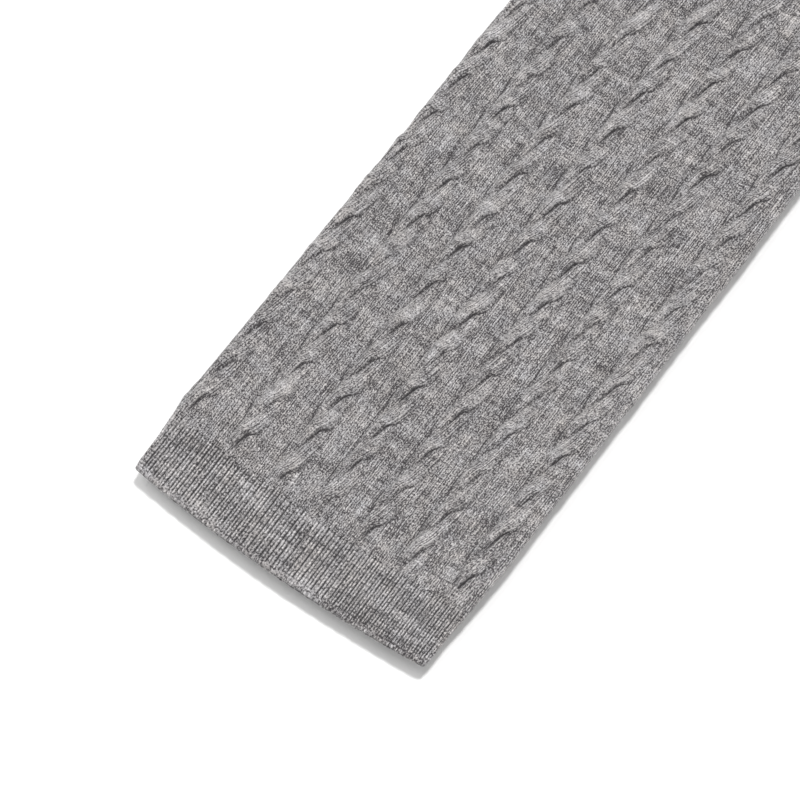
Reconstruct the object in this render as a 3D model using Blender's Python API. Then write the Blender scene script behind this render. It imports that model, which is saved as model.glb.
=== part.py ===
"""A pair of knitted leg warmers with rope cables, laid flat, one lying on the other.

Each leg warmer is one knitted tube: a leg with rope cables between a ribbed ankle cuff and a
ribbed knee cuff. It is parted where the stitch changes. X runs across the pair, +Y from the
ankle hems to the knee hems, and +Z up from the surface that the pair lies on.
"""
import math

import bmesh
import bpy

MM = 0.001

# One leg warmer, laid flat
LENGTH = 420 * MM
CUFF = 22.3 * MM              # height of each ribbed cuff
SEAM_GAP = 0.3 * MM           # between the leg and a cuff
FOLD = 2.6 * MM               # how far each side fold rounds off
LEG_WALL = 1.6 * MM
CUFF_WALL = 1.25 * MM
SEAT_GAP = 0.3 * MM           # between the two leg warmers where they touch
FOLD_STEPS = 4                # columns round a side fold
UNDER_COLUMNS = 5             # columns across the underside
INSIDE_ROWS = 4

# Stations along one leg warmer: distance from the ankle hem, where its left and right side
# folds lie, and thickness of its two layers, in mm. They are joined by straight runs. Its sides
# aren't alike: the ankle cuff is pulled over to the left.
STATIONS = (
    # from hem, left, right, thickness
    (0.0, -57.7, 55.4, 3.1),
    (3.0, -57.8, 55.5, 3.5),
    (13.0, -57.8, 55.7, 3.5),
    (22.3, -59.1, 56.8, 3.6),
    (28.0, -60.0, 57.6, 4.0),
    (34.0, -59.4, 58.0, 4.2),
    (60.0, -59.1, 58.0, 4.3),
    (110.0, -58.9, 58.4, 4.4),
    (210.0, -59.0, 58.6, 4.4),
    (389.0, -59.0, 58.6, 4.2),
    (397.7, -58.6, 58.0, 3.6),
    (417.0, -57.9, 57.3, 3.5),
    (420.0, -57.6, 57.0, 3.1),
)

WIDEST = max(row[2] - row[1] for row in STATIONS) * MM
THICKEST = max(row[3] for row in STATIONS) * MM
FLAT_RUN = WIDEST / 2 - FOLD  # half of the flat stretch between the side folds

# The wales drift a little to the left on their way up, most in the middle of the face, over the
# half next to the ankle.
DRIFT = -0.0145               # across for each unit along
DRIFT_MIDDLE = 115 * MM       # where they lie in their own places
DRIFT_END = 215 * MM

# The courses of the knitting bow: they run straight at the middle of the bow and rise towards
# the sides. The amounts are in mm of rise for each square cm from the middle.
BOW_MIDDLE = -19 * MM
BOWS = (
    # from hem, amount
    (0.0, 0.09),
    (22.3, 0.09),
    (38.0, 0.19),
    (260.0, 0.19),
    (420.0, 0.0),
)

# The rope cables on the upper face: the middle of each, from the left side fold
ROPES = (4.4, 23.0, 40.4, 57.2, 74.0, 90.8, 109.0)
ROPE_HALF = 3.6 * MM
ROPE_LEAN = 1.3               # rise of a strand for each unit that it crosses the rope
CROSSING = 15.6 * MM          # one crossing of a rope's strands
FIRST_CREASE = 9.5 * MM       # from the ankle cuff to the first crossing's crease
ROPE_FADE = 5 * MM            # a rope flattens this far from a cuff
LEAN_FADE = 9 * MM

# The ribs of a cuff
RIBS = 52                     # across the upper face
RIB_RELIEF = 0.5 * MM

# The two leg warmers. The lower one lies flat on the surface. Its cables are pressed by the
# upper one, and it is set back a little under the upper hem and aside to the left.
LOWER = {
    "name": "lower",
    "rope_relief": 0.8 * MM,
    # across half the rope: share of its half width, share of the relief
    "rope_columns": ((-1.0, 0.0), (-0.35, 1.0), (0.35, 1.0), (1.0, 0.0)),
    # along a crossing: share of its length, share of the relief
    "rope_rows": ((0.0, 0.15), (0.5, 1.0)),
    "hem": 3.5 * MM,
    "aside": -0.85 * MM,
    "turn": math.radians(0.05),
    "grey": (0.285, 0.280, 0.285),
}
UPPER = {
    "name": "upper",
    "rope_relief": 1.3 * MM,
    "rope_columns": ((-1.0, 0.0), (-0.55, 0.8), (0.0, 1.0), (0.55, 0.8), (1.0, 0.0)),
    "rope_rows": ((0.0, 0.1), (0.34, 1.0), (0.70, 0.9)),
    "hem": 0.0,
    "aside": 0.0,
    "turn": 0.0,
    "grey": (0.300, 0.296, 0.300),
}
CUFF_SAG = 0.7 * MM           # the upper one's cuffs sink towards the thinner cuffs below them


def between(table, along):
    """Values of a table's row at a distance along the leg warmer, in mm."""
    for low, high in zip(table, table[1:]):
        if along <= high[0]:
            share = (along - low[0]) / (high[0] - low[0])
            return [a + (b - a) * share for a, b in zip(low[1:], high[1:])]
    return list(table[-1][1:])


def bow(x, along):
    """How far a course rises at x, for a course whose middle is at a distance from the hem."""
    amount = between(BOWS, along / MM)[0]
    return amount * ((x - BOW_MIDDLE) / (10 * MM)) ** 2 * MM


def drift(x, along):
    """How far a wale lies to the right of its own place."""
    share = 1 - (x / FLAT_RUN) ** 2
    return DRIFT * (min(along, DRIFT_END) - DRIFT_MIDDLE) * share


def fade(along, start, end, distance):
    """1 in the middle of a stretch, falling to 0 at its ends."""
    return max(0.0, min(1.0, (along - start) / distance, (end - along) / distance))


class Column:
    """A line along the tube: on the upper face, round a side fold or on the underside."""

    def __init__(self, x=0.0, angle=0.0, rope=0.0, relief=0.0):
        self.x = x                # across, on a flat face
        self.angle = angle        # 0 on the upper face, pi on the underside, between them on a fold
        self.rope = rope          # place across the rope, -1 to 1
        self.relief = relief      # share of the relief that it carries

    def place(self, along, inset, lift):
        """Point of this column at a distance from the hem, on the wall's outside or inside."""
        left, right, thickness = (value * MM for value in between(STATIONS, along / MM))
        run = (right - left) / 2 - FOLD
        reach = math.copysign(FOLD - inset + lift, self.x)
        x = self.x + drift(self.x, along)
        x = (left + right) / 2 + x * run / FLAT_RUN + math.sin(self.angle) * reach
        z = thickness / 2 + math.cos(self.angle) * (thickness / 2 - inset + lift)
        return x, z


def side_columns(side):
    """Columns round a side fold, from the upper face to the underside."""
    steps = [math.pi * (step + 1) / (FOLD_STEPS + 1) for step in range(FOLD_STEPS)]
    columns = [Column(side * FLAT_RUN, angle) for angle in steps]
    return columns if side > 0 else columns[::-1]


def under_columns():
    """Columns across the underside, from right to left."""
    places = [1 - 2 * step / (UNDER_COLUMNS - 1) for step in range(UNDER_COLUMNS)]
    return [Column(FLAT_RUN * place, math.pi) for place in places]


def rope_columns(one):
    """Columns of the upper face of a leg, from left to right: each rope, then the plain knit."""
    columns = []
    centres = [middle * MM - WIDEST / 2 for middle in ROPES]
    for centre, following in zip(centres, centres[1:] + [None]):
        for across, relief in one["rope_columns"]:
            x = max(centre + across * ROPE_HALF, -FLAT_RUN)
            columns.append(Column(x, 0.0, across, relief))
        last = following is None
        columns.append(Column(FLAT_RUN if last else (centre + following) / 2))
    return columns


def rib_columns():
    """Columns of the upper face of a cuff: a groove and a crest for each rib."""
    columns = []
    for step in range(2 * RIBS + 1):
        x = FLAT_RUN * (step / RIBS - 1)
        columns.append(Column(x, 0.0, 0.0, step % 2))
    return columns


def leg_rows(one):
    """Rows along a leg: distance from the hem, and share of the relief that a rope has there."""
    start, end = CUFF + SEAM_GAP, LENGTH - CUFF - SEAM_GAP
    rows = [(start, 0.0)]
    for crossing in range(-1, math.ceil((end - start) / CROSSING)):
        crease = start + FIRST_CREASE + crossing * CROSSING
        for share, height in one["rope_rows"]:
            along = crease + share * CROSSING
            if start + 3 * MM < along < end - 3 * MM:
                rows.append((along, height))
    return rows + [(end, 0.0)]


def ring(bm, columns, along, base, inset=0.0, relief=0.0, lean=0.0):
    """One ring of vertices round the tube, on a course that bows."""
    verts = []
    for column in columns:
        x, z = column.place(along, inset, column.relief * relief)
        shear = column.rope * ROPE_HALF * lean
        y = along + bow(x, along) + shear
        verts.append(bm.verts.new((x, y, base(along) + z)))
    return verts


def tube_object(name, columns, outside, inside, wall, base, colour):
    """A tube of cloth. A row outside has its place, relief and lean, and one inside its place."""
    bm = bmesh.new()
    outer = [ring(bm, columns, along, base, 0.0, relief, lean) for along, relief, lean in outside]
    inner = [ring(bm, columns, along, base, wall) for along in inside]
    rings = outer + inner[::-1]
    for low, high in zip(rings, rings[1:] + rings[:1]):
        for index in range(len(columns)):
            after = (index + 1) % len(columns)
            bm.faces.new((low[index], low[after], high[after], high[index]))
    bmesh.ops.recalc_face_normals(bm, faces=bm.faces)
    mesh = bpy.data.meshes.new(name)
    bm.to_mesh(mesh)
    bm.free()
    mesh.materials.append(knit_material(name, colour))
    return bpy.data.objects.new(name, mesh)


def knit_material(name, colour):
    """Matt marled wool."""
    material = bpy.data.materials.new(name)
    material.use_nodes = True
    shader = material.node_tree.nodes["Principled BSDF"]
    shader.inputs["Base Color"].default_value = (*colour, 1.0)
    shader.inputs["Roughness"].default_value = 0.95
    shader.inputs["Metallic"].default_value = 0.0
    return material


def evenly(start, end, count):
    return [start + (end - start) * step / (count - 1) for step in range(count)]


def leg(one, base):
    """The cabled leg."""
    columns = rope_columns(one) + side_columns(1) + under_columns() + side_columns(-1)
    rows = leg_rows(one)
    start, end = rows[0][0], rows[-1][0]
    outside = []
    for along, height in rows:
        relief = height * one["rope_relief"] * fade(along, start, end, ROPE_FADE)
        lean = ROPE_LEAN * fade(along, start, end, LEAN_FADE)
        outside.append((along, relief, lean))
    inside = evenly(start, end, INSIDE_ROWS)
    name = one["name"] + "_leg_tube"
    return tube_object(name, columns, outside, inside, LEG_WALL, base, one["grey"])


def cuff(one, base, name, stops):
    """A ribbed cuff, through its rows from the ankle side to the knee side."""
    columns = rib_columns() + side_columns(1)[:-1] + under_columns() + side_columns(-1)[1:]
    outside = [(along, RIB_RELIEF, 0.0) for along in stops]
    inside = [stops[0], stops[-1]]
    name = one["name"] + name
    return tube_object(name, columns, outside, inside, CUFF_WALL, base, one["grey"])


def leg_warmer(one, seat, sag, collection):
    """One leg warmer on an empty that places it. Its underside is at the height of its seat."""
    def base(along):
        sunk = 1 - fade(along, CUFF / 2, LENGTH - CUFF / 2, CUFF)
        return seat - sag * sunk

    holder = bpy.data.objects.new(one["name"] + "_leg_warmer", None)
    collection.objects.link(holder)
    hem_edge, waist = (row[0] * MM for row in STATIONS[1:3])
    pieces = (
        leg(one, base),
        cuff(one, base, "_ankle_cuff", (0.0, hem_edge, waist, CUFF)),
        cuff(one, base, "_knee_cuff", (LENGTH - CUFF, LENGTH - hem_edge, LENGTH)),
    )
    for piece in pieces:
        collection.objects.link(piece)
        piece.parent = holder
    holder.location.x = one["aside"]
    holder.location.y = one["hem"]
    holder.rotation_euler.z = one["turn"]
    return holder


def centre_on_origin(holders):
    """Move the pair so that the middle of the box round it is at X 0 and Y 0."""
    bpy.context.view_layer.update()
    corners = [
        piece.matrix_world @ vertex.co
        for holder in holders
        for piece in holder.children
        for vertex in piece.data.vertices
    ]
    for holder in holders:
        holder.location.x -= (min(c.x for c in corners) + max(c.x for c in corners)) / 2
        holder.location.y -= (min(c.y for c in corners) + max(c.y for c in corners)) / 2


def build():
    for existing in list(bpy.data.objects):
        bpy.data.objects.remove(existing)
    collection = bpy.data.collections.new("Leg warmers")
    bpy.context.scene.collection.children.link(collection)
    seat = THICKEST + LOWER["rope_relief"] + SEAT_GAP
    lower = leg_warmer(LOWER, 0.0, 0.0, collection)
    upper = leg_warmer(UPPER, seat, CUFF_SAG, collection)
    centre_on_origin((lower, upper))


build()
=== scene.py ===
import math

import bmesh
import bpy
import numpy as np
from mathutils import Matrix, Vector


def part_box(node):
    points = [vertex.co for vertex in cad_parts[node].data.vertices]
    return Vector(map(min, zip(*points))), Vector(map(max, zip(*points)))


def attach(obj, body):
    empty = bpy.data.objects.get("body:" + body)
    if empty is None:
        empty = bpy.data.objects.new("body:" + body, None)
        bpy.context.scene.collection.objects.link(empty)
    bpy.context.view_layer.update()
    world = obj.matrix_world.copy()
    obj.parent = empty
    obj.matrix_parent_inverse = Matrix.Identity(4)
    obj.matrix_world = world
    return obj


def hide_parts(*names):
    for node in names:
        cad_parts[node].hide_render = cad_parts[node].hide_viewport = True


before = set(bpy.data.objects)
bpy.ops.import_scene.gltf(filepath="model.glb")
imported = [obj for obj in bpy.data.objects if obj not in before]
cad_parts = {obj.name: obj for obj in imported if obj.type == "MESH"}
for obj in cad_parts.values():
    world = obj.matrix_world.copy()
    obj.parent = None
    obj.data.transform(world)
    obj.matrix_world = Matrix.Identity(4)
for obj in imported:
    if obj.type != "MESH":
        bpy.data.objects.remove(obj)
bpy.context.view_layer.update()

mm = 0.001

# ---- the pair ------------------------------------------------------------------------------

# one leg warmer laid flat, in mm
tube = {
    "length": 420.0,
    "cuff": 22.3,
    "fold": 2.6,               # how far a side fold rounds off
    "legWall": 1.6,
    "cuffWall": 1.25,
    "solidShort": 0.127,       # the solid's folds are cut this much short of round
    "stations": (
        # from the ankle hem, left and right side fold, thickness of both layers
        (0.0, -57.9, 55.5, 3.1),
        (3.0, -58.1, 55.6, 3.5),
        (13.0, -58.3, 55.7, 3.5),
        (22.3, -59.2, 56.8, 3.6),
        (28.0, -60.0, 57.6, 4.0),
        (34.0, -59.4, 58.0, 4.2),
        (60.0, -59.1, 58.0, 4.3),
        (110.0, -58.9, 58.4, 4.4),
        (210.0, -59.0, 58.6, 4.4),
        (389.0, -59.0, 58.6, 4.2),
        (397.7, -58.6, 58.0, 3.6),
        (417.0, -57.9, 57.3, 3.5),
        (420.0, -57.6, 57.0, 3.1),
    ),
    # the wales drift to the left on their way up, over the half next to the ankle
    "drift": -0.0145,
    "driftMiddle": 115.0,
    "driftEnd": 215.0,
    # the courses bow: mm of rise for each square cm from the middle of the bow
    "bowMiddle": -19.0,
    "bows": ((0.0, 0.09), (22.3, 0.09), (38.0, 0.19), (260.0, 0.19), (420.0, 0.0)),
    "sides": (-59.0, 58.3),    # the side folds beside which the wales lie in their own places
    "sidesOut": (-0.2, -0.5),  # how far both side folds lie from those stations, towards +X
    # how far the side folds wander, in waves of this size, read this far from the middle
    "edgeWave": 0.25,
    "edgeWaveSize": 37.0,
    "edgeWavePlace": 40.0,
    # how far the upper face rises and sinks, in waves of this size
    "faceWave": 0.22,
    "faceWaveSize": 52.0,
}

ankleBox = [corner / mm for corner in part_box("upper_ankle_cuff")]
legBox = [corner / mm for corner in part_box("upper_leg_tube")]
rightmost = max(row[2] for row in tube["stations"])
middle = legBox[1].x - rightmost + tube["solidShort"]
hem = ankleBox[0].y

upper = {
    "name": "upper",
    "aside": 0.0,
    "hem": hem,
    "turn": 0.0,
    "seat": ankleBox[0].z + 0.7,
    "sag": 0.7,                # the cuffs sink towards the cuffs below them
    "press": 1.15,             # share of the rope and rib relief that stands up
    "seed": 11,
    "rowStep": 0.9,            # of the mesh along the leg
    "coarse": 1.0,             # how coarse the rest of the mesh is
}
lower = {
    "name": "lower",
    "aside": -0.85,
    "hem": hem + 3.5,
    "turn": math.radians(0.05),
    "seat": 0.0,
    "sag": 0.0,
    "press": 0.6,
    "seed": 23,
    "rowStep": 1.7,
    "coarse": 1.6,
}

widest = max(row[2] - row[1] for row in tube["stations"])
flatRun = widest / 2 - tube["fold"]     # half the flat stretch between the side folds
foldRun = 7.4                           # round one side fold
halfRound = 2 * flatRun + foldRun       # from the middle of the upper face to the middle below


def column(table, index, along):
    # one column of a table, between its rows
    return np.interp(along, [row[0] for row in table], [row[index] for row in table])


def bow(x, along):
    # how far a course rises at x
    return column(tube["bows"], 1, along) * ((x - tube["bowMiddle"]) / 10) ** 2


def fade(along, start, end, distance):
    # 1 in the middle of a stretch, falling to 0 at its ends
    return np.clip(np.minimum((along - start) / distance, (end - along) / distance), 0, 1)


def smooth(x):
    x = np.clip(x, 0, 1)
    return x * x * (3 - 2 * x)


def ripple(across, along, size, seed):
    # a soft random swell of many waves of about one size, about -1 to 1
    waves, total = 14, 0
    for angle, phase, stretch in np.random.default_rng(seed).uniform(0, 1, (waves, 3)):
        wave = 2 * math.pi / size / (0.75 + 0.5 * stretch)
        turned = across * math.cos(math.pi * angle) + along * math.sin(math.pi * angle)
        total = total + np.cos(turned * wave + 2 * math.pi * phase)
    return total / 5


def foldAngle(around):
    # 0 on the upper face, pi below, between them on a side fold
    return np.clip((abs(around) - flatRun) / foldRun, 0, 1) * math.pi


def across(around):
    # place on the flat face, before the folds round off
    below = np.maximum(abs(around) - flatRun - foldRun, 0)
    return np.sign(around) * (np.minimum(abs(around), flatRun) - below)


def placed(one, around, along, lift, inset):
    # where a point of the cloth lies: around and along the tube, raised or set in, all in mm
    left, right, thickness = (column(tube["stations"], n, along) for n in (1, 2, 3))
    place, size = tube["edgeWavePlace"], tube["edgeWaveSize"]
    leftOut, rightOut = tube["sidesOut"]
    left = left + leftOut + tube["edgeWave"] * ripple(-place, along, size, one["seed"])
    right = right + rightOut + tube["edgeWave"] * ripple(place, along, size, one["seed"])
    # where a side lies further in, its wales roll round the fold and those above run on straight
    leftmost, rightmost = tube["sides"]
    scale = (rightmost - leftmost - 2 * tube["fold"]) / 2 / flatRun
    rolled = np.where(around < 0, left - leftmost, right - rightmost) / scale
    rolled = rolled * np.clip((halfRound - abs(around)) / (halfRound - flatRun - foldRun), 0, 1)
    angle = foldAngle(around - rolled)
    flat = across(around - rolled) + rolled
    drift = tube["drift"] * (np.minimum(along, tube["driftEnd"]) - tube["driftMiddle"])
    x = flat + drift * (1 - (flat / flatRun) ** 2)
    x = x * scale + (leftmost + rightmost) / 2
    x = x + np.sign(around) * np.sin(angle) * (tube["fold"] - inset + lift)
    face = tube["faceWave"] * ripple(flat, along, tube["faceWaveSize"], one["seed"] + 1)
    z = thickness / 2 + np.cos(angle) * (thickness / 2 - inset + lift)
    z = z + np.maximum(np.cos(angle), 0) * np.cos(angle / 2) * face
    start, end = tube["cuff"] / 2, tube["length"] - tube["cuff"] / 2
    z = z + one["seat"] - one["sag"] * (1 - fade(along, start, end, tube["cuff"]))
    z = np.maximum(z, 0)
    y = along + bow(x, along)
    turn = one["turn"]
    return (
        x * math.cos(turn) - y * math.sin(turn) + middle + one["aside"],
        x * math.sin(turn) + y * math.cos(turn) + one["hem"],
        z,
    )


# ---- the camera ----------------------------------------------------------------------------

camera = {
    "azimuth": 37.0,
    "elevation": 72.0,
    "distance": 960.0,
    "angle": 15.3,
    "aimAlong": 70.2,          # from the ankle hem
    "aimAcross": -3.2,         # from the middle of the pair
    "aimHeight": 9.5,
}


def makeCamera():
    turn, rise = math.radians(camera["azimuth"]), math.radians(camera["elevation"])
    back = Vector((
        math.sin(turn) * math.cos(rise), -math.cos(turn) * math.cos(rise), math.sin(rise),
    ))
    aim = Vector((middle + camera["aimAcross"], hem + camera["aimAlong"], camera["aimHeight"]))
    data = bpy.data.cameras.new("camera")
    data.sensor_width = 36
    data.angle = math.radians(camera["angle"])
    data.clip_start = 0.01
    data.clip_end = 20
    eye = bpy.data.objects.new("camera", data)
    eye.location = (aim + back * camera["distance"]) * mm
    eye.rotation_mode = "QUATERNION"
    eye.rotation_quaternion = (-back).to_track_quat("-Z", "Y")
    bpy.context.scene.collection.objects.link(eye)
    bpy.context.scene.camera = eye


makeCamera()
print("camera placed")

# ---- the cloth's rows and columns ----------------------------------------------------------


def spread(stretches):
    # places from the first one on, then for each (end, step) as many even steps as fit
    places = [stretches[0]]
    for end, step in stretches[1:]:
        if end > places[-1] + 0.01:
            count = max(1, round((end - places[-1]) / step))
            places += list(np.linspace(places[-1], end, count + 1)[1:])
    return np.array(places)


def rim(start, wall, sign):
    # rows that round a hem off: outside to inside at the end, inside to outside at the start
    rows, steps = [], 6
    for step in range(1, steps):
        turn = math.pi * step / steps
        inset = wall / 2 * (1 - math.cos(turn))
        rows.append((start, inset, (1 + math.cos(turn)) / 2, sign * wall / 2 * math.sin(turn)))
    return rows if sign > 0 else rows[::-1]


def shellRows(outside, inside, wall, hemAt=None):
    # rows of a closed shell: (along, inset, share of the relief, shift), outside then inside
    first, last = outside[0], outside[-1]
    rows = [(along, 0.0, 1.0, 0.0) for along in outside]
    if hemAt == "end":
        rows += rim(last, wall, 1)
    rows += [(along, wall, 0.0, 0.0) for along in inside]
    if hemAt == "start":
        rows += rim(first, wall, -1)
    return np.array(rows + rows[:1])


def knitShell(name, one, columns, rows, stitches):
    # a grid of columns and rows, bent into the closed shell of one tube
    bm = bmesh.new()
    countAround, countAlong = len(columns) - 1, len(rows) - 1
    bmesh.ops.create_grid(bm, x_segments=countAround, y_segments=countAlong, size=0.5)
    mesh = bpy.data.meshes.new(name)
    bm.to_mesh(mesh)
    bm.free()

    flat = np.empty(len(mesh.vertices) * 3)
    mesh.vertices.foreach_get("co", flat)
    flat = flat.reshape(-1, 3) + 0.5
    around = columns[np.rint(flat[:, 0] * countAround).astype(int)]
    row = np.rint(flat[:, 1] * countAlong).astype(int)
    along, inset, share, shift = rows[row].T
    along = along + share * relief.lean(around, along)
    lift, paintedShading = relief.height(around, along)
    lined = relief.ribShare(around, along) if "Cuff" in name else np.ones_like(along)
    x, y, z = placed(one, around, along, lift * share * one["press"], inset)
    hem = np.exp(-np.minimum(along, tube["length"] - along) / ribs["hemReach"])
    wave = ripple(around, 0 * along, ribs["hemWaveSize"], one["seed"] + 3)
    y = y + shift + hem * ribs["hemWave"] * wave
    mesh.vertices.foreach_set("co", (np.stack([x, y, z], 1) * mm).ravel())

    corner = np.empty(len(mesh.loops), dtype=np.int32)
    mesh.loops.foreach_get("vertex_index", corner)
    layers = stitches(around[corner].reshape(-1, 4), along[corner].reshape(-1, 4))
    for key, (u, v) in layers.items():
        layer = mesh.uv_layers.new(name=key)
        layer.data.foreach_set("uv", np.stack([u.ravel(), v.ravel()], 1).ravel())
    for key, values in (("paintedShading", paintedShading * share), ("lined", lined)):
        mark = mesh.attributes.new(key, "FLOAT", "POINT")
        mark.data.foreach_set("value", values)

    # the grid's edges meet below the tube and where its inside comes back to its outside
    bm = bmesh.new()
    bm.from_mesh(mesh)
    bmesh.ops.remove_doubles(bm, verts=bm.verts, dist=1e-7)
    for face in bm.faces:
        face.smooth = True
    bm.to_mesh(mesh)
    bm.free()
    piece = bpy.data.objects.new(name, mesh)
    bpy.context.scene.collection.objects.link(piece)
    print(name, len(mesh.polygons) * 2, "triangles")
    return piece


# ---- ropes and ribs ------------------------------------------------------------------------

stitch = {
    "wale": 1.6,
    "course": 1.3,
    "cuffCourse": 1.07,
    "ropeWale": 1.7,
}
rope = {
    # the ropes on the upper face, from the left side fold
    "places": (4.4, 23.0, 40.4, 57.2, 74.0, 90.8, 109.0),
    "below": 7,                # ropes on the underside, evenly between the outer two above
    "reach": 4.8,
    "crossings": (
        # from the ankle cuff, crossings passed; the middle of the first is at 0
        (-301.0, -20.0),
        (104.6, 6.0),
        (200.6, 12.0),
        (481.4, 30.0),
    ),
    "strand": (
        # one strand, over for the first half of its way and under for the rest:
        # crossings from the middle of its own, left edge, right edge, height
        (-1.05, -4.1, -3.2, -0.30),
        (-0.95, -4.1, -2.9, -0.05),
        (-0.80, -4.2, -2.2, 0.25),
        (-0.61, -4.2, -1.3, 0.65),
        (-0.50, -4.15, -0.95, 0.90),
        (-0.34, -4.05, -0.35, 1.25),
        (-0.25, -3.95, -0.05, 1.45),
        (-0.20, -3.9, 0.35, 1.52),
        (-0.15, -3.8, 1.3, 1.57),
        (-0.07, -3.6, 2.6, 1.57),
        (0.0, -3.3, 2.9, 1.52),
        (0.11, -2.6, 3.1, 1.40),
        (0.25, -2.0, 3.3, 1.25),
        (0.39, -1.5, 3.45, 1.05),
        (0.62, -0.6, 3.6, 0.80),
        (0.80, -0.3, 3.7, 0.60),
        (0.95, -0.3, 3.7, 0.40),
        (1.05, -0.3, 3.7, 0.0),
    ),
    "crease": (
        # at the right edge of the same strand: crossings, depth
        (-0.8, 0.0), (-0.65, 0.5), (-0.45, 0.8), (-0.3, 1.0), (-0.2, 1.0), (-0.1, 0.8),
        (0.0, 0.35), (0.1, 0.0),
    ),
    "creaseDepth": 0.45,
    "creaseWidth": 0.44,
    "creaseOut": 0.15,         # how far outside the strand's edge a crease lies
    "creaseLineOut": 0.1,      # and the thin dark line in it
    "bulge": (2.6, 0.65),      # powers that round a strand off across its width
    "leftChannel": (
        # beside the rope: share of a crossing, place, depth
        (0.0, -4.2, 0.9),
        (0.12, -4.5, 1.0),
        (0.28, -4.8, 1.0),
        (0.45, -4.8, 0.6),
        (0.60, -4.5, 0.3),
        (0.88, -4.2, 0.4),
        (1.0, -4.2, 0.9),
    ),
    "rightChannel": (
        (0.0, 3.3, 0.5),
        (0.1, 3.4, 0.9),
        (0.35, 3.7, 0.7),
        (0.5, 3.8, 0.2),
        (0.9, 3.6, 0.0),
        (1.0, 3.3, 0.5),
    ),
    "channelDepth": 0.26,
    "channelWidth": 0.4,
    "channelPaintedShade": 0.45,     # how much painted shade a channel gets beside a crease
    "crestLight": 0.3,         # painted highlight: the wool on the crests is painted lighter, as if it caught the light
    "crestHeights": (0.6, 1.3),
    "lean": 1.3,
    "leanHalf": 3.6,           # the courses lean over this much of a rope, from its middle
    "leanReach": 8.4,          # and are level again here
    "fade": 5.0,
    "leanFade": 9.0,
    "pressed": 0.22,           # how far the cloth sinks in between the ropes below
    # waves of the face: height, size, seed
    "swells": ((0.08, 9.5, 5), (0.07, 5.0, 6)),
    # no two crossings are quite alike: how far they vary, for so many of them
    "uneven": {"place": 0.08, "left": 0.2, "right": 0.25, "height": 0.2, "depth": 0.3, "light": 0.8},
    "unlike": 64,
    "seed": 7,
    "stitchHalf": 4.0,         # stitches follow a strand this far from the rope's middle
}
ribs = {
    # across the upper face, the pitch of the ribs
    "pitches": ((-60, 2.05), (-42, 2.2), (-18, 2.22), (-2, 2.56), (20, 2.08), (60, 1.96)),
    "valley": -1.4,            # where one valley lies
    "height": 0.85,
    "level": 0.85,             # share of a rib's height that lies in the cuff's own face
    "pressed": 0.15,           # how far the cloth sinks in between the ribs below
    "valleyFrom": 0.6,         # share of its height below which the cloth is in a valley and gets painted shade
    "columns": 10,             # of mesh for one rib, above
    "columnsBelow": 3,
    "rowStep": 0.62,
    # where the ribs end in the leg: how far the end varies, is set off and fades
    "ragged": 1.6,
    "raggedSize": 6.0,
    "raggedOff": -0.6,
    "endFade": 1.5,
    "hemBare": 0.7,            # the ribs begin this far from the hem
    "hemFade": 2.4,
    "hemReach": 1.2,           # how far the hem's own form and its painted highlight reach
    "hemWave": 0.22,
    "hemWaveSize": 4.2,
    "hemLight": 0.08,          # painted highlight along the smooth edge of a hem, as if it caught the light
}
# steps of the mesh in mm, and rows inside
meshSteps = {"under": 3.0, "fold": 0.9, "plain": 2.4, "rope": 0.5, "seam": 0.03}
insideRows = {"leg": 8, "cuff": 5}


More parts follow.
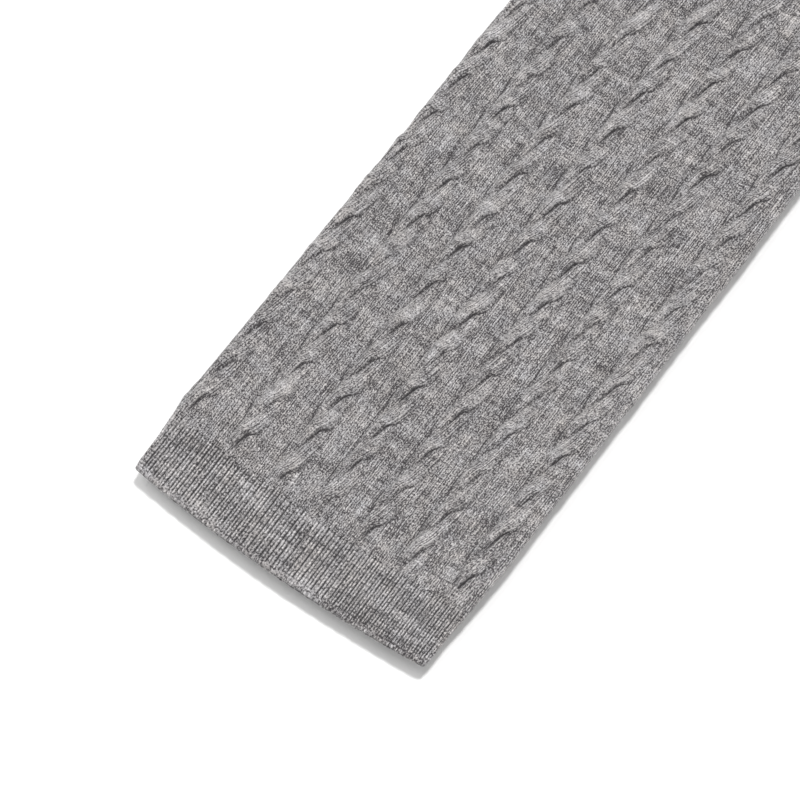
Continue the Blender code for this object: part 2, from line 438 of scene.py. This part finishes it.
class Relief:
    # where the ropes and ribs lie and how they stand up
    def __init__(self):
        places = [place - widest / 2 for place in rope["places"]]
        gap = (2 * halfRound - places[-1] + places[0]) / (rope["below"] + 1)
        below = [places[-1] + gap * (step + 1) for step in range(rope["below"])]
        places += [place - 2 * halfRound if place > halfRound else place for place in below]
        self.places = np.array(sorted(places))
        kinds = (3, len(places), rope["unlike"])
        self.chance = np.random.default_rng(rope["seed"]).uniform(-1, 1, kinds)
        steps = 2000
        self.ribSteps = np.linspace(-halfRound, halfRound, steps)
        counts = np.cumsum(1 / column(ribs["pitches"], 1, across(self.ribSteps)))
        self.ribCount = round(counts[-1] * 2 * halfRound / steps)
        self.ribPlaces = (counts - counts[0]) / (counts[-1] - counts[0]) * self.ribCount
        self.ribPlaces -= np.interp(ribs["valley"], self.ribSteps, self.ribPlaces) % 1

    def nearest(self, around):
        # number of the nearest rope, and how far to the right of its middle
        gaps = np.mod(around[..., None] - self.places + halfRound, 2 * halfRound) - halfRound
        which = np.abs(gaps).argmin(-1)
        return which, np.take_along_axis(gaps, which[..., None], -1)[..., 0]

    def lean(self, around, along):
        # how far a course climbs where it crosses a rope
        which, x = self.nearest(around)
        near, far = rope["leanHalf"], rope["leanReach"]
        shear = np.sign(x) * near * np.clip((far - abs(x)) / (far - near), 0, 1)
        shear = np.where(abs(x) < near, x, shear)
        start, end = tube["cuff"], tube["length"] - tube["cuff"]
        return rope["lean"] * shear * fade(along, start, end, rope["leanFade"])

    def turned(self, along):
        # crossings passed
        places, numbers = np.array(rope["crossings"]).T
        return np.interp(along - tube["cuff"], places, numbers)

    def strands(self, which, x, along):
        # height of the top strand and its number, and the deepest crease and its number
        turned = self.turned(along)
        flatness, roundness = rope["bulge"]
        best, owner = np.zeros_like(x), np.floor(turned)
        crease, creased = np.zeros_like(x), np.floor(turned)
        for step in (-1, 0, 1, 2):
            number = np.floor(turned) + step
            left, right, height, depth = self.strand(which, number, along)
            off = np.clip(abs(x - (left + right) / 2) / (right - left) * 2, 0, 1)
            height = height * (1 - off ** flatness) ** roundness
            beside = (x - right - rope["creaseOut"]) / rope["creaseWidth"]
            beside = np.exp(-beside ** 2) * depth
            owner = np.where(height > best, number, owner)
            creased = np.where(beside > crease, number, creased)
            best = np.maximum(best, height)
            crease = np.maximum(crease, beside)
        return best, owner, crease, creased

    def strand(self, which, number, along):
        # edges and height of one strand, and depth of the crease at its right edge
        phases, lefts, rights, heights = np.array(rope["strand"]).T
        creasePhases, creaseDepths = np.array(rope["crease"]).T
        shifted, taller, deeper = self.chance[:, which, number.astype(int) % rope["unlike"]]
        uneven = rope["uneven"]
        phase = self.turned(along) - number + uneven["place"] * shifted
        left = np.interp(phase, phases, lefts) + uneven["left"] * deeper
        right = np.interp(phase, phases, rights) + uneven["right"] * taller
        height = np.interp(phase, phases, heights) * (1 + uneven["height"] * taller)
        depth = np.interp(phase, creasePhases, creaseDepths) * (1 + uneven["depth"] * deeper)
        return left, right, height, depth

    def channels(self, which, along):
        # for the channel on each side of a rope: where it lies and how deep
        part = np.mod(self.turned(along) + rope["uneven"]["place"] * self.chance[0, which, 0], 1)
        for side in ("leftChannel", "rightChannel"):
            parts, places, depths = np.array(rope[side]).T
            yield np.interp(part, parts, places), np.interp(part, parts, depths)

    def height(self, around, along):
        # how far the cloth stands up, and its painted shading: 1 is painted shade deep in a crease,
        # under 0 is a painted highlight on a crest
        which, x = self.nearest(around)
        start, end = tube["cuff"], tube["length"] - tube["cuff"]
        best, owner, crease, creased = self.strands(which, x, along)
        channel = 0
        for place, depth in self.channels(which, along):
            channel = channel + depth * np.exp(-((x - place) / rope["channelWidth"]) ** 2)
        swell = 0
        for high, size, seed in rope["swells"]:
            swell = swell + high * ripple(around, along, size, seed)
        shown = fade(along, start, end, rope["fade"])
        lift = best - rope["creaseDepth"] * crease - rope["channelDepth"] * channel + swell
        # painted highlight on the crests of the strands, and painted shade in the creases and
        # channels
        low, high = rope["crestHeights"]
        chance = self.chance[1, which, owner.astype(int) % rope["unlike"]]
        light = rope["crestLight"] * (1 + rope["uneven"]["light"] * chance)
        crest = light * smooth((best - low) / (high - low)) * (1 - crease)
        paintedShading = (np.maximum(crease, rope["channelPaintedShade"] * channel) - crest) * shown

        ribTop = self.ribProfile(around)
        ribShare = self.ribShare(around, along)
        lift = lift * shown + ribs["height"] * (ribTop - ribs["level"]) * ribShare
        # painted shade in the valleys between the ribs
        paintedShading = paintedShading + smooth((ribs["valleyFrom"] - ribTop) / ribs["valleyFrom"]) * ribShare
        outer = np.minimum(along, tube["length"] - along)
        # painted highlight along the hem
        paintedShading = paintedShading - ribs["hemLight"] * np.exp(-(outer / ribs["hemReach"]) ** 2)

        # the underside is pressed flat, so it only sinks in between its ropes and ribs
        underFrom = 0.6
        under = smooth((foldAngle(around) / math.pi - underFrom) / (1 - underFrom))
        pressed = rope["pressed"] * (np.minimum(best, 1) - 1) * shown
        pressed = pressed + ribs["pressed"] * (ribTop - 1) * ribShare
        return lift * (1 - under) + pressed * under, paintedShading

    def ribPlace(self, around):
        # ribs passed; the valleys lie at whole numbers
        return np.interp(around, self.ribSteps, self.ribPlaces)

    def ribProfile(self, around):
        # two crests to a rib, with a shallow groove between them
        turn = 2 * math.pi * self.ribPlace(around)
        return (2 - np.cos(turn) - np.cos(2 * turn)) / 3

    def ribShare(self, around, along):
        # share of its height that a rib has here: each ends in the leg at a place of its own
        places = np.floor(self.ribPlace(around)) * 2.2
        ragged = ribs["ragged"] * ripple(places, 0 * along, ribs["raggedSize"], 9) + ribs["raggedOff"]
        inner = np.where(along < tube["length"] / 2, tube["cuff"] - along,
                         along - tube["length"] + tube["cuff"])
        outer = np.minimum(along, tube["length"] - along)
        ended = smooth((inner - ragged) / ribs["endFade"])
        return ended * smooth((outer - ribs["hemBare"]) / ribs["hemFade"])

    def legStitches(self, around, along):
        # layers for the four corners of each face; the whole face follows one strand
        which, x = self.nearest(around.mean(-1))
        best, owner, crease, creased = self.strands(which, x, along.mean(-1))
        inRope = (abs(x) < rope["stitchHalf"]) & (best > 0.02)
        cornerX = around - around.mean(-1)[:, None] + x[:, None]
        # the wales of a strand have numbers of their own, so that their marl isn't their neighbours'
        number = 500 + 30.37 * which + 3.29 * np.mod(owner, 7)
        which, owner, creased = which[:, None], owner[:, None], creased[:, None]

        left, right, height, depth = self.strand(which, owner, along)
        strand = number[:, None] + (cornerX - (left + right) / 2) / stitch["ropeWale"]
        wale = np.where(inRope[:, None], strand, around / stitch["wale"])
        left, right, height, depth = self.strand(which, creased, along)
        shown = fade(along, tube["cuff"], tube["length"] - tube["cuff"], rope["fade"])
        layers = {
            "knit": (wale, along / stitch["course"]),
            "crease": (cornerX - right - rope["creaseLineOut"], depth * shown),
        }
        for side, (place, deep) in zip(("left", "right"), self.channels(which, along)):
            layers[side + "Channel"] = (cornerX - place, deep * shown)
        return layers

    def cuffStitches(self, around, along):
        return {"knit": (self.ribPlace(around), along / stitch["cuffCourse"])}


relief = Relief()


def legColumns(coarse):
    # fine across the ropes of the upper face and round the folds, coarser elsewhere
    under, fold, plain, inRope = (
        meshSteps[key] * coarse for key in ("under", "fold", "plain", "rope")
    )
    above = flatRun + foldRun
    firstRope = -widest / 2 + rope["places"][0] - rope["reach"]
    stretches = [-halfRound, (-above, under), (firstRope, fold)]
    for place in relief.places:
        if abs(place) < flatRun:
            stretches.append((place - rope["reach"], plain))
            stretches.append((place + rope["reach"], inRope))
    stretches += [(flatRun, plain), (above, fold), (halfRound, under)]
    return spread(stretches)


def makeLeg(one):
    seam = meshSteps["seam"]
    start, end = tube["cuff"], tube["length"] - tube["cuff"]
    outside = spread([start, (start + seam, seam), (end - seam, one["rowStep"]), (end, seam)])
    inside = np.linspace(end, start, insideRows["leg"])
    rows = shellRows(outside, inside, tube["legWall"])
    columns = legColumns(one["coarse"])
    return knitShell(one["name"] + "Leg", one, columns, rows, relief.legStitches)


def cuffColumns(coarse):
    above = flatRun + foldRun
    pitch = 2 * halfRound / relief.ribCount * coarse
    fine, wide = pitch / ribs["columns"], pitch / ribs["columnsBelow"]
    return spread([-halfRound, (-above, wide), (above, fine), (halfRound, wide)])


def makeCuff(one, end):
    wall, seam, rowStep = tube["cuffWall"], meshSteps["seam"], ribs["rowStep"] * one["coarse"]
    if end == "Ankle":
        start, stop, hemAt = wall / 2, tube["cuff"], "start"
        outside = spread([start, (stop - seam, rowStep), (stop, seam)])
    else:
        start, stop, hemAt = tube["length"] - tube["cuff"], tube["length"] - wall / 2, "end"
        outside = spread([start, (start + seam, seam), (stop, rowStep)])
    rows = shellRows(outside, np.linspace(stop, start, insideRows["cuff"]), wall, hemAt)
    name = one["name"] + end + "Cuff"
    return knitShell(name, one, cuffColumns(one["coarse"]), rows, relief.cuffStitches)


# ---- the wool ------------------------------------------------------------------------------


class Wire:
    # a socket in a material; sums on it add Math nodes
    def __init__(self, tree, socket):
        self.tree, self.socket = tree, socket

    def node(self, kind, settings, output, inputs):
        made = self.tree.nodes.new(kind)
        for key, value in settings.items():
            setattr(made, key, value)
        for key, value in inputs.items():
            if isinstance(value, Wire):
                self.tree.links.new(value.socket, made.inputs[key])
            else:
                made.inputs[key].default_value = value
        return Wire(self.tree, made.outputs[output])

    def math(self, operation, *values):
        settings = {"operation": operation}
        return self.node("ShaderNodeMath", settings, 0, dict(enumerate(values)))

    def __add__(self, other):
        return self.math("ADD", self, other)

    def __radd__(self, other):
        return self.math("ADD", other, self)

    def __sub__(self, other):
        return self.math("SUBTRACT", self, other)

    def __rsub__(self, other):
        return self.math("SUBTRACT", other, self)

    def __mul__(self, other):
        return self.math("MULTIPLY", self, other)

    def __truediv__(self, other):
        return self.math("DIVIDE", self, other)

    def __abs__(self):
        return self.math("ABSOLUTE", self)

    def fract(self):
        return self.math("FRACT", self)

    def floor(self):
        return self.math("FLOOR", self)

    def above(self, least):
        return self.math("MAXIMUM", self, least)

    def layer(self, name):
        # the two values of one of the piece's own layers
        pair = self.node("ShaderNodeUVMap", {"uv_map": name}, 0, {})
        return [self.node("ShaderNodeSeparateXYZ", {}, n, {"Vector": pair}) for n in (0, 1)]

    def mix(self, factor, first, second):
        values = {0: factor, 6: first, 7: second}
        return self.node("ShaderNodeMix", {"data_type": "RGBA", "clamp_factor": True}, 2, values)

    def point(self, x, y, z):
        return self.node("ShaderNodeCombineXYZ", {}, 0, {"X": x, "Y": y, "Z": z})

    def noise(self, scale, detail, roughness):
        # about the point in self, from -1 to 1
        values = {"Vector": self, "Scale": scale, "Detail": detail, "Roughness": roughness}
        made = self.node("ShaderNodeTexNoise", {"noise_dimensions": "3D"}, 0, values)
        return (made - 0.5) * 2


wool = {
    "dark": (0.049, 0.0445, 0.0475),
    "warm": (0.823, 0.772, 0.738),
    "cool": (0.776, 0.770, 0.796),
    "roughness": 0.95,
    "specular": 0.2,
    "sheen": 0.5,
    "sheenRoughness": 0.5,
    "bump": 0.9,
    "bumpDepth": 0.25,         # in mm
    # height of each in the bump, against the stitches
    "speckBump": 0.5,
    "fibreBump": 0.4,
    "grooveBump": 3.0,
    "hueSpread": 0.6,
    # waves in a metre
    "hueScale": 170.0,
    "fibreScale": 2400.0,
}


def knitNoise(wale, course, layer, across, along, detail=1.0, roughness=0.5):
    # across and along are waves for each wale and course; each noise is its own layer of one
    point = wale.point(wale * across, course * along, layer)
    return point.noise(1.0, detail, roughness)


def woolMaterial(name, look):
    material = bpy.data.materials.new(name)
    material.use_nodes = True
    tree = material.node_tree
    shader = tree.nodes["Principled BSDF"]
    start = Wire(tree, None)
    wale, course = start.layer("knit")
    paintedShading = start.node("ShaderNodeAttribute", {"attribute_name": "paintedShading"}, 2, {})
    lined = start.node("ShaderNodeAttribute", {"attribute_name": "lined"}, 2, {})
    place = start.node("ShaderNodeTexCoord", {}, 3, {})

    # each stitch is a pair of legs that climb from the middle of the wale to its sides; painted shade
    # darkens the gaps between the legs, the wale's edges and its middle
    wander = knitNoise(wale, course, layer=2.0, across=0.35, along=0.09)
    wale = wale + wander * look["wander"]
    half = wale.fract()
    away = abs(half - 0.5) * 2
    climb = course - away * look["rise"]
    between = abs(climb.fract() * 2 - 1)
    between = between * between * look["between"]
    # the right half of each wale gets less of that painted shade, as if the light fell from the left
    between = between * (1 - half.math("GREATER_THAN", half, 0.5) * look["rightLess"])
    edge = (away - look["edgeFrom"]).above(0) / (1 - look["edgeFrom"]) * lined
    centre = (1 - away / look["centreTo"]).above(0) * look["centre"] * lined
    side = (wale + 0.5).floor()
    uneven = knitNoise(side, course, layer=4.0, across=1.7, along=0.55)
    edge = edge * (look["edge"] + uneven * look["uneven"]).above(0.05)
    thread = (1 - between) * (1 - edge) * (1 - centre)

    leg = wale.point((wale * 2).floor(), climb.floor(), 0.5)
    chance = wale.node("ShaderNodeTexWhiteNoise", {"noise_dimensions": "3D"}, 0, {"Vector": leg})
    acrossSpeck, alongSpeck = look["speckAcross"], look["speckAlong"]
    speck = knitNoise(wale, course, 3.0, acrossSpeck, alongSpeck, roughness=0.6)
    line = knitNoise(wale, course, 6.0, look["lineAcross"], along=0.1, detail=0.0)
    streak = knitNoise(wale, course, 9.0, across=0.12, along=0.5, detail=2.0, roughness=0.55)
    patch = knitNoise(wale, course, 5.0, across=0.10, along=0.16)
    fibre = place.noise(wool["fibreScale"], 1.0, 0.5)

    # thin dark lines of painted shade where the cloth turns down between the strands
    groove = paintedShading * 0
    for key, width, depth in look["grooves"]:
        off, deep = start.layer(key)
        off = (off + speck * 0.25) / width
        dark = (1 - off * off).above(0) * (deep * deep * (1 + line)).above(0)
        groove = groove.math("MAXIMUM", groove, dark * depth)

    # where a highlight is painted, on the crests and along the hem, the wool is drawn smoother
    rough = 1 - (0 - paintedShading).above(0) * look["smoother"]
    amount = (
        look["base"] - look["unlined"]
        + lined * look["unlined"]
        # painted shade in the gaps between the stitches
        + (thread - 0.6) * look["stitch"] * rough
        + (chance - 0.5) * look["chance"]
        + speck * look["speck"] * rough
        + line * look["line"]
        + streak * look["streak"]
        + patch * look["patch"]
        + fibre * look["fibre"]
        # painted shade in creases, channels and rib valleys, painted highlight on crests and the hem
        - paintedShading * look["paintedShading"]
        # painted shade lines in the creases and side channels
        - groove
    )
    # fibres of slightly different greys
    hue = place.noise(wool["hueScale"], 1.0, 0.5) * wool["hueSpread"] + 0.5
    light = wale.mix(hue, (*wool["warm"], 1), (*wool["cool"], 1))
    colour = wale.mix(amount, (*wool["dark"], 1), light)
    tree.links.new(colour.socket, shader.inputs["Base Color"])
    height = thread + speck * wool["speckBump"] + fibre * wool["fibreBump"]
    height = height - groove * wool["grooveBump"]
    values = {"Height": height, "Strength": wool["bump"], "Distance": wool["bumpDepth"] * mm}
    bump = wale.node("ShaderNodeBump", {}, 0, values)
    tree.links.new(bump.socket, shader.inputs["Normal"])
    shader.inputs["Roughness"].default_value = wool["roughness"]
    shader.inputs["Specular IOR Level"].default_value = wool["specular"]
    shader.inputs["Sheen Weight"].default_value = wool["sheen"]
    shader.inputs["Sheen Roughness"].default_value = wool["sheenRoughness"]
    return material


# shares and strengths of what the marl is made of
legLook = {
    "rise": 0.5, "between": 0.52, "rightLess": 0.5, "wander": 0.08,
    "edgeFrom": 0.60, "edge": 0.72, "uneven": 0.9, "centre": 0.60, "centreTo": 0.38,
    "speckAcross": 4.0, "speckAlong": 2.2, "lineAcross": 5.5,
    "base": 0.241, "unlined": 0.0, "stitch": 0.42, "chance": 0.22, "speck": 0.86, "line": 0.32,
    "streak": 0.28, "patch": 0.17, "fibre": 0.52, "paintedShading": 0.18, "smoother": 0.5,
    # layer, half width in mm, depth of the painted shade line
    "grooves": (("crease", 0.6, 0.22), ("leftChannel", 0.42, 0.26), ("rightChannel", 0.36, 0.16)),
}
cuffLook = {
    "rise": 0.6, "between": 0.5, "rightLess": 0.0, "wander": 0.0,
    "edgeFrom": 0.66, "edge": 0.82, "uneven": 0.9, "centre": 0.92, "centreTo": 0.30,
    "speckAcross": 4.2, "speckAlong": 1.2, "lineAcross": 5.0,
    "base": 0.310, "unlined": 0.18, "stitch": 0.55, "chance": 0.18, "speck": 0.84, "line": 0.22,
    "streak": 0.36, "patch": 0.28, "fibre": 0.5, "paintedShading": 0.25, "smoother": 0.0,
    "grooves": (),
}

# ---- the pieces ----------------------------------------------------------------------------


def dress(piece, material, node):
    piece.data.materials.append(material)
    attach(piece, "root")
    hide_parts(node)


def makePair():
    legWool = woolMaterial("marled wool, plain and cabled", legLook)
    cuffWool = woolMaterial("marled wool, ribbed", cuffLook)
    roundFlat = 2 * widest * mm
    for one in (lower, upper):
        name = one["name"]
        leg = makeLeg(one)
        legLength = (tube["length"] - 2 * tube["cuff"]) * mm
        dress(leg, legWool, name + "_leg_tube")
        for end in ("Ankle", "Knee"):
            cuff = makeCuff(one, end)
            node = name + "_" + end.lower() + "_cuff"
            dress(cuff, cuffWool, node)


makePair()
print("pair made")

# ---- floor and light -----------------------------------------------------------------------

studio = {
    "floor": (0.97, 0.97, 0.965),
    "sky": 0.38,
    # strength, elevation, heading it comes from (anticlockwise from +X) and size in degrees
    "suns": ((2.1, 66.0, 104.0, 9.0), (0.75, 58.0, 168.0, 30.0), (0.95, 18.0, -20.0, 40.0)),
    # in metres, the floor's width and how far it lies under the cloth
    "floorSize": 30.0,
    "floorBelow": 0.0002,
}


def makeStudio():
    bm = bmesh.new()
    bmesh.ops.create_grid(bm, x_segments=1, y_segments=1, size=studio["floorSize"] / 2)
    mesh = bpy.data.meshes.new("floor")
    bm.to_mesh(mesh)
    bm.free()
    floor = bpy.data.objects.new("floor", mesh)
    floor.location.z = -studio["floorBelow"]
    bpy.context.scene.collection.objects.link(floor)
    material = bpy.data.materials.new("pale floor")
    material.use_nodes = True
    shader = material.node_tree.nodes["Principled BSDF"]
    shader.inputs["Base Color"].default_value = (*studio["floor"], 1)
    shader.inputs["Roughness"].default_value = 0.9
    shader.inputs["Specular IOR Level"].default_value = 0.0
    mesh.materials.append(material)

    for strength, elevation, heading, size in studio["suns"]:
        lamp = bpy.data.lights.new("softbox", "SUN")
        lamp.energy = strength
        lamp.angle = math.radians(size)
        sun = bpy.data.objects.new("softbox", lamp)
        rise, turn = math.radians(elevation), math.radians(heading)
        flat = Vector((math.cos(turn), math.sin(turn), 0)) * math.cos(rise)
        sun.rotation_mode = "QUATERNION"
        sun.rotation_quaternion = (flat + Vector((0, 0, math.sin(rise)))).to_track_quat("Z", "Y")
        bpy.context.scene.collection.objects.link(sun)

    world = bpy.data.worlds.new("studio")
    world.use_nodes = True
    start = Wire(world.node_tree, None)
    seen = start.node("ShaderNodeLightPath", {}, 0, {})
    strength = seen * (1 - studio["sky"]) + studio["sky"]
    sky = world.node_tree.nodes["Background"]
    sky.inputs["Color"].default_value = (1, 1, 1, 1)
    world.node_tree.links.new(strength.socket, sky.inputs["Strength"])
    bpy.context.scene.world = world
    bpy.context.scene.view_settings.view_transform = "Standard"


makeStudio()
print("studio lit")
